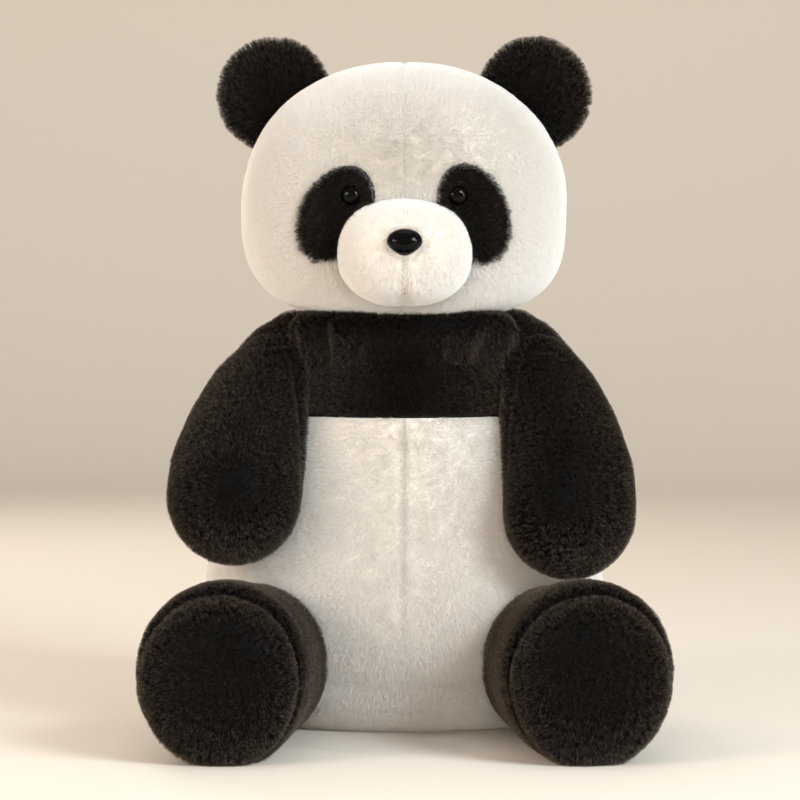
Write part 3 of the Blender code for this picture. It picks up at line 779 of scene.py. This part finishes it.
def head_pull(points):
    x, y, z = points.T
    crown = before(head_high[2] - 0.012 - z, 0.003)
    pull = groove(x, 0.0002 + 0.0018 * crown, 0.0016)
    pull += groove(y - SIDE_SEAM_Y, 0.0012, 0.0016)
    for side in SIDES:
        eye = eye_frame(side)[0]
        away = np.linalg.norm((points - eye) * [1, 0.4, 1], axis=1)
        pull += dent(away, 0.0042, 0.0105) * (y < HEAD_CENTRE[1])
    return pull + dent(muzzle_shape(points) - 1, 0.003, 0.12) * (y < HEAD_CENTRE[1])


def make_head():
    def inside(p):
        return (head_shape(p, PILE_ROOM) < 1) & (ball_shape(p, NECK, NECK_RADIUS + 0.001) > 1)

    skin = even_skin("head_skin", HEAD_CENTRE, inside)
    sculpt(skin, head_pull, 11, black=False)
    fill(skin, "head", "head_stuffing")
    front, back = ((0, SIDE_SEAM_Y, 0), (0, -1, 0)), ((0, SIDE_SEAM_Y, 0), (0, 1, 0))

    def behind_muzzle(p):
        return muzzle_shape(p, 0.012) < 1

    def bare(p):
        covered = muzzle_shape(p, PILE_ROOM) < 1
        covered |= ball_shape(p, NECK, NECK_RADIUS + 0.004) < 1
        for side in SIDES:
            covered |= in_patch(p, side) | (ear_shape(p, side, 0.004) < 1)
        return covered

    for side, sign in SIDES.items():
        middle = ((0, 0, 0), (sign, 0, 0))
        face = cut_panel(skin, f"face_{side}", [middle, front], behind_muzzle)
        pile = dict(length=0.0050, density=32, lean=(0, 0, -0.25), seed=3 + sign, stray=0.05)
        dress(face, "head", f"face_panel_{side}", False, bare=bare, **pile)
        nape = cut_panel(skin, f"head_back_{side}", [middle, back])
        pile = dict(length=0.0052, density=24, lean=(0, 0, -0.40), seed=7 + sign)
        dress(nape, "head", f"head_back_panel_{side}", False, bare=bare, **pile)
        make_patch(skin, side)
    discard(skin)


def make_patch(skin, side):
    """An eye patch, let into the face and standing a little proud of it."""
    patch = cut_panel(skin, f"eye_patch_{side}_cloth", [], lambda p: ~in_patch(p, side, PATCH_LAP))
    round_patch(patch, side)
    points = coordinates(patch.data)
    set_coordinates(patch.data, points + normals(patch.data) * PATCH_PROUD)
    eye = eye_frame(side)[0]

    def bare(p):
        by_eye = np.linalg.norm((p - eye)[:, [0, 2]], axis=1) < EYE_RADIUS + 0.0014
        return by_eye | (muzzle_shape(p, PILE_ROOM) < 1)

    pile = dict(length=0.0056, density=28, lean=(0, 0, -0.05), seed=21 + SIDES[side])
    dress(patch, "head", f"eye_patch_{side}", True, bare=bare, **pile, **RUFFLED)


def muzzle_pull(points):
    x, y, z = points.T
    below = before(z - NOSE_AT[2] + 0.004, 0.002)
    front = before(y - MUZZLE_CENTRE[1], 0.004)
    pull = groove(x, 0.0030, 0.0019) * below * front
    nose = np.linalg.norm((points - NOSE_AT) * [0.8, 0.35, 1], axis=1)
    pull += dent(nose, 0.0034, 0.0125) * front
    chin = np.linalg.norm(points - [0, MUZZLE_CENTRE[1] - 0.026, muzzle_low[2]], axis=1)
    return pull + dent(chin, 0.004, 0.010)


def make_muzzle():
    def inside(p):
        return muzzle_shape(p, PILE_ROOM - 0.0005) < 1

    skin = even_skin("muzzle_skin", MUZZLE_CENTRE, inside, voxel=0.0014)
    sculpt(skin, muzzle_pull, 31, black=False)

    def in_head(p):
        return head_shape(p, 0.010) < 1

    def bare(p):
        nose = np.hypot(p[:, 0] / 0.0114, (p[:, 2] - NOSE_AT[2]) / 0.0090) < 1
        seam = (np.abs(p[:, 0]) < 0.0005) & (p[:, 2] < NOSE_AT[2])
        in_front = (nose | seam) & (p[:, 1] < MUZZLE_CENTRE[1])
        return (head_shape(p, PILE_ROOM + 0.001) < 1) | in_front

    muzzle = cut_panel(skin, "muzzle", [], in_head)
    pile = dict(length=0.0048, density=26, lean=(0, 0.15, -0.20), seed=41)
    dress(muzzle, "head", "muzzle_panel", False, bare=bare, **pile)
    discard(skin)


# ---- ears ---------------------------------------------------------------------------------------


def make_ear(side):
    centre = ear_place(side)

    def inside(p):
        return (ear_shape(p, side, PILE_ROOM + 0.0005) < 1) & (head_shape(p, 0.009) > 1)

    def pull(p):
        dish = dent(np.linalg.norm(p - centre, axis=1), 0.0015, 0.020) * (p[:, 1] < centre[1])
        return groove(p[:, 1] - centre[1], 0.0012, 0.0016) + dish

    start = centre + np.array([0.012 * SIDES[side], 0, 0.010])
    skin = even_skin(f"ear_skin_{side}", start, inside, voxel=0.0016)
    sculpt(skin, pull, 51 + SIDES[side])
    out = (centre - HEAD_CENTRE) * [1, 0, 1]
    out = out / np.linalg.norm(out)
    pivot = pivot_of(f"ear_{side}_fold")
    bend = ("head", pivot - out * EAR_BEND[0], pivot + out * EAR_BEND[1])
    fill(skin, f"ear_{side}", f"ear_stuffing_{side}", bend)

    def bare(p):
        return head_shape(p, PILE_ROOM + 0.0015) < 1

    for half, way in (("front", -1), ("back", 1)):
        panel = cut_panel(skin, f"ear_{half}_{side}", [(centre, (0, way, 0))])
        seed = 60 + way * 2 + SIDES[side]
        pile = dict(length=0.0068, density=24, lean=tuple(out * 0.15), bare=bare, seed=seed)
        dress(panel, f"ear_{side}", f"ear_{half}_panel_{side}", True, bend, **pile, **RUFFLED)
    discard(skin)


# ---- torso --------------------------------------------------------------------------------------


def torso_pull(points):
    x, y, z = points.T
    below_seam = before(z - BELLY_SEAM_Z, 0.002)
    pull = groove(x, 0.0015, 0.0018) * np.where(y < 0, below_seam, 1)
    pull += groove(y, 0.0016, 0.0018)
    pull += groove(z - BELLY_SEAM_Z, 0.0006, 0.0020)
    pull += groove(z - SEAT_SEAM_Z, 0.0010, 0.0018)
    lap = dent(z - LAP_Z - x * x, 0.0022, 0.007)
    return pull + lap * before(y + 0.06, 0.01)


def make_torso():
    def limbs(p, inset):
        shapes = [shape(p, side, inset) for shape in (arm_shape, leg_shape) for side in SIDES]
        return np.min(shapes, axis=0)

    def inside(p):
        beside = np.min([arm_shape(p, side, 0.008) for side in SIDES], axis=0) > 1
        clear = (limbs(p, PILE_ROOM - 0.001) > 1) | (shoulder_yoke(p, PILE_ROOM) < 1) & beside
        clear &= ball_shape(p, NECK, NECK_RADIUS + 0.001) > 1
        collar = superellipse(p, COLLAR_CENTRE, COLLAR_HALF, 4) < 1
        return ((torso_shape(p, PILE_ROOM) < 1) | collar) & clear & (p[:, 2] > FLOOR_GAP)

    skin = even_skin("torso_skin", (0, 0, 0.12), inside, voxel=0.0022)
    sculpt(skin, torso_pull, 71, black=False)
    fill(skin, "torso", "torso_stuffing")

    def bare(p):
        by_neck = ball_shape(p, NECK, NECK_RADIUS + 0.0015) < 1
        return (limbs(p, PILE_ROOM + 0.003) < 1) | by_neck | (p[:, 2] < 0.002)

    def bare_black(p):
        return bare(p) | (p[:, 2] < BELLY_SEAM_Z + 0.0022)

    black = dict(length=0.0064, density=24, lean=(0, 0, -0.30), bare=bare_black, **TIDY)
    white = dict(length=0.0060, density=26, lean=(0, 0, -0.35), bare=bare)
    above, below = ((0, 0, BELLY_SEAM_Z), (0, 0, 1)), ((0, 0, BELLY_SEAM_Z), (0, 0, -1))
    front, back = ((0, 0, 0), (0, -1, 0)), ((0, 0, 0), (0, 1, 0))
    over_seat = ((0, 0, SEAT_SEAM_Z), (0, 0, 1))
    chest = cut_panel(skin, "chest", [above, front])
    dress(chest, "torso", "chest_panel", True, seed=81, **black)
    seat = cut_panel(skin, "seat", [((0, 0, SEAT_SEAM_Z), (0, 0, -1))])
    dress(seat, "torso", "seat_panel", False, seed=82, **white)
    for side, sign in SIDES.items():
        middle = ((0, 0, 0), (sign, 0, 0))
        panel = cut_panel(skin, f"upper_back_{side}", [middle, above, back])
        dress(panel, "torso", f"upper_back_panel_{side}", True, seed=84 + sign, **black)
        panel = cut_panel(skin, f"belly_{side}", [middle, below, over_seat, front])
        dress(panel, "torso", f"belly_panel_{side}", False, seed=87 + sign, **white)
        panel = cut_panel(skin, f"lower_back_{side}", [middle, below, over_seat, back])
        dress(panel, "torso", f"lower_back_panel_{side}", False, seed=90 + sign, **white)
    discard(skin)


def make_neck():
    """The gathered cloth over the neck's wad."""

    def inside(p):
        return ball_shape(p, NECK, NECK_RADIUS) < 1

    skin = even_skin("neck_cover", NECK, inside, voxel=0.0026)

    def gathers(p):
        return 0.0006 * (1 + np.sin(np.arctan2(p[:, 1] - NECK[1], p[:, 0]) * 26))

    sculpt(skin, gathers, 95)
    skin.data.shade_smooth()

    def bare(p):
        return p[:, 2] > head_low[2] - 0.0005

    pile = dict(length=0.0050, density=24, lean=(0, 0, -0.30), seed=96)
    clothe(skin, True, bare=bare, **pile, **TIDY)
    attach(skin, "neck")
    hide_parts("neck_wad", "neck_seam_thread")


def make_tail():
    low, high = box_of("tail_panel")
    radius = (high[0] - low[0]) / 2
    centre = np.array([0, high[1] - radius, (low[2] + high[2]) / 2])

    def inside(p):
        return (ball_shape(p, centre, radius - PILE_ROOM) < 1) & (torso_shape(p, 0.009) > 1)

    def bare(p):
        return torso_shape(p, PILE_ROOM + 0.001) < 1

    skin = even_skin("tail_skin", centre + [0, 0.008, 0], inside, voxel=0.0016)
    sculpt(skin, lambda p: np.zeros(len(p)), 97, black=False)
    fill(skin, "torso", "tail_stuffing")
    tail = cut_panel(skin, "tail", [])
    dress(tail, "torso", "tail_panel", False, length=0.0062, density=20, bare=bare, seed=98)
    discard(skin)


# ---- limbs --------------------------------------------------------------------------------------


def make_arm(side):
    sign = SIDES[side]
    normal = ARM_SEAM_NORMAL * [sign, 1, 1]
    normal = normal / np.linalg.norm(normal)
    middle = ARM_PATH[2, :3] * [sign, 1, 1]

    def inside(p):
        return arm_shape(p, side, PILE_ROOM) < 1

    def pull(p):
        tip = ARM_PATH[-1, :3] * [sign, 1, 1] + [0, -0.030, -0.030]
        whorl = dent(np.linalg.norm(p - tip, axis=1), 0.0025, 0.010)
        return groove((p - middle) @ normal, 0.0018, 0.0018) + whorl

    skin = even_skin(f"arm_skin_{side}", middle, inside)
    sculpt(skin, pull, 101 + sign)
    down = (ARM_PATH[-1, :3] - ARM_PATH[0, :3]) * [sign, 1, 1]
    down = down / np.linalg.norm(down)
    pivot = pivot_of(f"arm_{side}_raise")
    bend = ("torso", pivot + down * ARM_BEND[0], pivot + down * ARM_BEND[1])
    fill(skin, f"arm_{side}", f"arm_stuffing_{side}", bend)

    def bare(p):
        return (p[:, 0] * sign < ARM_INNER_X + 0.0020) & (p[:, 2] > ARMHOLE_Z)

    for half, way in (("inner", 1), ("outer", -1)):
        panel = cut_panel(skin, f"arm_{half}_{side}", [(middle, normal * way)])
        seed = 110 + way * 2 + sign
        pile = dict(length=0.0066, density=20, lean=tuple(down * 0.18), bare=bare, seed=seed)
        dress(panel, f"arm_{side}", f"arm_{half}_panel_{side}", True, bend, **pile, **TIDY)
    discard(skin)


def make_leg(side):
    sign = SIDES[side]
    hip, way, sideways = leg_frame(side)
    seam = hip + way * SOLE_SEAM
    middle = LEG_PROFILE[0, 2]

    def inside(p):
        return (leg_shape(p, side, PILE_ROOM) < 1) & (p[:, 2] > FLOOR_GAP)

    def pull(p):
        along = (p - seam) @ way
        sides = groove(p[:, 2] - middle, 0.0012, 0.0018) * before(along, 0.001)
        return groove(along, 0.0032, 0.0022) + sides

    skin = even_skin(f"leg_skin_{side}", hip + way * 0.06 + [0, 0, middle], inside)
    sculpt(skin, pull, 121 + sign)
    fill(skin, f"leg_{side}", f"leg_stuffing_{side}")
    tube, cap = (seam, -way), (seam, way)

    def bare(p):
        return (torso_shape(p, PILE_ROOM + 0.003) < 1) | (p[:, 2] < 0.002)

    for half, up in (("upper", 1), ("lower", -1)):
        panel = cut_panel(skin, f"leg_{half}_{side}", [tube, ((0, 0, middle), (0, 0, up))])
        seed = 130 + up * 2 + sign
        pile = dict(length=0.0066, density=20, lean=tuple(way * 0.25), bare=bare, seed=seed)
        dress(panel, f"leg_{side}", f"leg_{half}_panel_{side}", True, **pile, **TIDY)
    sole = cut_panel(skin, f"sole_{side}", [cap])
    pile = dict(length=0.0066, density=22, lean=(0, 0, -0.10), bare=bare, seed=140 + sign)
    dress(sole, f"leg_{side}", f"sole_panel_{side}", True, **pile, **TIDY)
    discard(skin)


# ---- hard pieces, camera and light --------------------------------------------------------------


def paint(node, material):
    materials = frame["nodes"][node].data.materials
    materials.clear()
    materials.append(material)


def ring_solid(name, loops, first, last):
    """A closed body through loops of points, ending in a point at each end."""
    count = len(loops[0])
    points = [first, *[p for loop in loops for p in loop], last]
    faces = [(0, 1 + (k + 1) % count, 1 + k) for k in range(count)]
    for row in range(len(loops) - 1):
        here, there = 1 + row * count, 1 + (row + 1) * count
        for k in range(count):
            after = (k + 1) % count
            faces.append((here + k, here + after, there + after, there + k))
    here, end = 1 + (len(loops) - 1) * count, len(points) - 1
    faces += [(here + k, here + (k + 1) % count, end) for k in range(count)]
    mesh = bpy.data.meshes.new(name)
    mesh.from_pydata([tuple(p) for p in points], [], faces)
    bm = bmesh.new()
    bm.from_mesh(mesh)
    bmesh.ops.recalc_face_normals(bm, faces=bm.faces)
    bm.to_mesh(mesh)
    bm.free()
    mesh.shade_smooth()
    return link(bpy.data.objects.new(name, mesh))


def dome_levels(depth, steps=12):
    """Scale and height of the rings of a dome, from its back edge to near its tip."""
    turns = np.linspace(0.06, math.pi / 2 * 0.97, steps)
    rounded = [(math.cos(a) ** 0.75, depth * math.sin(a)) for a in turns]
    return [(0.55, -0.0012), (0.90, -0.0011), (0.975, -0.0005), *rounded]


def make_eye(side):
    rim, way = eye_frame(side)
    across = np.array([-way[1], way[0], 0])
    angles = np.linspace(0, 2 * math.pi, 48, endpoint=False)
    up = np.array([0, 0, 1])
    loops = []
    post = [(POST_RADIUS / EYE_RADIUS, -0.006), (POST_RADIUS / EYE_RADIUS, -0.0013)]
    for scale, out in [*post, *dome_levels(EYE_DOME)]:
        radius = EYE_RADIUS * scale
        middle = rim + way * out
        loops.append([middle + radius * (math.cos(a) * across + math.sin(a) * up) for a in angles])
    eye = ring_solid(f"eye_{side}_gloss", loops, rim - way * 0.0062, rim + way * EYE_DOME)
    finish_hard(eye, f"eye_{side}")


def nose_outline(angle, width, height):
    """A rounded triangle, wide and gently curved at the top and blunt below."""
    z = math.sin(angle)
    taper = 1 - 0.30 * max(-z, 0) ** 1.3 + 0.06 * max(z, 0)
    return np.array([width / 2 * math.cos(angle) * taper, 0, height / 2 * (z * 0.95 + 0.05)])


def make_nose():
    width, height, depth = NOSE_SIZE
    tilt = np.array(Matrix.Rotation(NOSE_TILT, 3, "X"))
    angles = np.linspace(0, 2 * math.pi, 64, endpoint=False)
    loops = []
    for scale, out in dome_levels(depth * 1.04, 16):
        ring = [nose_outline(a, width * scale, height * scale) + [0, -out, 0] for a in angles]
        loops.append([NOSE_AT + tilt @ p for p in ring])
    ends = [NOSE_AT + tilt @ np.array([0, -out, 0]) for out in (-0.0014, depth * 1.04)]
    nose = ring_solid("nose_gloss", loops, *ends)
    finish_hard(nose, "nose")


def finish_hard(obj, node):
    obj.data.materials.append(GLOSS_BLACK)
    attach(obj, "head")
    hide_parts(node)


def make_stitches():
    """The dark thread down the middle of the muzzle, from the nose to the chin."""
    top, bottom = NOSE_AT[2] - 0.0115, MUZZLE_CENTRE[2] - 0.0300
    bm = bmesh.new()
    for z in np.arange(top, bottom, -STITCH_PITCH):
        up = abs((z - MUZZLE_CENTRE[2]) / MUZZLE_HALF[2])
        reach = (1 - up**MUZZLE_ROUND) ** (1 / MUZZLE_ROUND) * (MUZZLE_HALF[1] - PILE_ROOM)
        place = Vector((0, MUZZLE_CENTRE[1] - reach + 0.0012, z))
        made = bmesh.ops.create_icosphere(bm, subdivisions=2, radius=1)
        turn = Matrix.Translation(place) @ Matrix.Rotation(-0.5 * up, 4, "X")
        shape = Matrix.Diagonal((*STITCH_HALF, 1))
        bmesh.ops.transform(bm, matrix=turn @ shape, verts=made["verts"])
    mesh = bpy.data.meshes.new("muzzle_stitches")
    bm.to_mesh(mesh)
    bm.free()
    mesh.shade_smooth()
    obj = link(bpy.data.objects.new("muzzle_stitches", mesh))
    obj.data.materials.append(THREAD)
    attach(obj, "head")


def make_hard_pieces():
    for node in frame["nodes"]:
        if "washer" in node:
            paint(node, WASHER)
    for side in SIDES:
        make_eye(side)
    make_nose()
    make_stitches()


def make_stage():
    """A pale floor that curves up into a backdrop."""
    half_width, front, back, bend, top = 15, -8, 2.6, 1.0, 9.0
    turns = np.linspace(0, math.pi / 2, 16)
    curve = [(back + bend * math.sin(a), bend - bend * math.cos(a)) for a in turns]
    outline = [(front, 0), *curve, (back + bend, top)]
    mesh = bpy.data.meshes.new("floor")
    bm = bmesh.new()
    rows = [[bm.verts.new((x, y, z)) for y, z in outline] for x in (-half_width, half_width)]
    for i in range(len(outline) - 1):
        bm.faces.new((rows[0][i], rows[1][i], rows[1][i + 1], rows[0][i + 1]))
    bm.to_mesh(mesh)
    bm.free()
    mesh.shade_smooth()
    floor = link(bpy.data.objects.new("floor", mesh))
    material, nodes, _ = new_material("pale_floor")
    nodes["Principled BSDF"].inputs["Base Color"].default_value = (0.82, 0.74, 0.64, 1)
    nodes["Principled BSDF"].inputs["Roughness"].default_value = 0.8
    mesh.materials.append(material)


def add_area(name, place, target, size, power, colour):
    """A soft lamp: its width and height in metres, its power in watts."""
    light = bpy.data.lights.new(name, "AREA")
    light.shape = "RECTANGLE"
    light.size, light.size_y = size
    light.energy = power
    light.color = colour
    obj = link(bpy.data.objects.new(name, light))
    obj.location = place
    way = Vector(target) - Vector(place)
    obj.rotation_euler = way.to_track_quat("-Z", "Y").to_euler()
    return obj


def make_light():
    """Soft light from the sides, front, top and back, and two small lamps that show in the eyes."""
    middle, low = (0, 0, 0.22), (0, 0, 0.12)
    add_area("key", (1.4, -1.8, 1.3), middle, (0.8, 0.8), 50, (0.82, 0.93, 1.0))
    add_area("fill", (-1.8, -1.5, 0.8), middle, (0.8, 0.8), 26, (1.0, 0.86, 0.73))
    add_area("top", (0.1, -0.2, 2.2), middle, (1.2, 1.2), 4, (0.97, 0.98, 1.0))
    add_area("rim", (-0.9, 1.6, 1.3), middle, (1.0, 0.8), 12, (1.0, 0.93, 0.85))
    front = add_area("front", (-0.2, -2.6, 0.35), low, (1.8, 0.7), 24, (1.0, 0.87, 0.73))
    front.visible_glossy = False
    add_area("window", (1.6, -1.2, 0.60), middle, (0.10, 0.7), 12, (0.86, 0.94, 1.0))
    add_area("catch", (-1.2, -1.9, 0.75), middle, (0.12, 0.12), 4, (1.0, 0.93, 0.84))
    world = bpy.data.worlds.new("soft_room")
    world.use_nodes = True
    sky = world.node_tree.nodes["Background"]
    sky.inputs["Color"].default_value = (1.0, 0.97, 0.93, 1)
    sky.inputs["Strength"].default_value = 0.50
    bpy.context.scene.world = world


def make_camera():
    camera = bpy.data.cameras.new("camera")
    camera.lens = 144
    camera.sensor_width = 36
    obj = link(bpy.data.objects.new("camera", camera))
    obj.location = (-0.003, -2.2, 0.287)
    looking_down = 1.8  # degrees
    obj.rotation_euler = (math.radians(90 - looking_down), 0, 0)
    bpy.context.scene.camera = obj
    bpy.context.scene.view_settings.view_transform = "Standard"


def main():
    make_camera()
    make_light()
    make_stage()
    make_hard_pieces()
    make_head()
    make_muzzle()
    make_torso()
    make_neck()
    make_tail()
    for side in SIDES:
        make_ear(side)
        make_arm(side)
        make_leg(side)


main()
